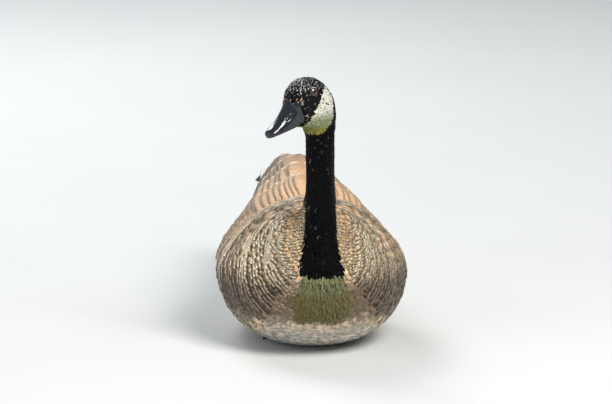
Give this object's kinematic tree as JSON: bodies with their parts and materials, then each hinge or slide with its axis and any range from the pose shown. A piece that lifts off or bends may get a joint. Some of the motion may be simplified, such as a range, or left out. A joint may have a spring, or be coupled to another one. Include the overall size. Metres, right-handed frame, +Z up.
{
  "type": "canada goose",
  "caption": "A Canada goose at life size, resting on its belly with the feet tucked under, neck upright and head turned to its right. A still model.",
  "frame": {"origin": "on the floor under the middle of the belly, on the flat that the bird rests on", "axes": "+Z up, -Y the way the body faces, +X the bird's left side"},
  "size_m": [0.2508, 0.6336, 0.3727],
  "materials": {
    "breast_plumage": "barred body feathers",
    "black_plumage": "velvety feathers with a white cheek patch",
    "wing_feathers": "brown vanes with pale fringes",
    "tail_feathers": "black vanes, white coverts",
    "bill_horn": "smooth black horn",
    "eye": "polished",
    "foot_skin": "scaled dark skin"
  },
  "bodies": {
    "root": {"torso": "breast_plumage", "neck": "black_plumage", "head": "black_plumage", "bill_upper": "bill_horn", "bill_lower": "bill_horn", "eye_left": "eye", "eye_right": "eye", "wing_left": "wing_feathers", "wing_right": "wing_feathers", "tail": "tail_feathers", "leg_left": "foot_skin", "leg_right": "foot_skin", "foot_left": "foot_skin", "foot_right": "foot_skin"}
  },
  "joints": []
}
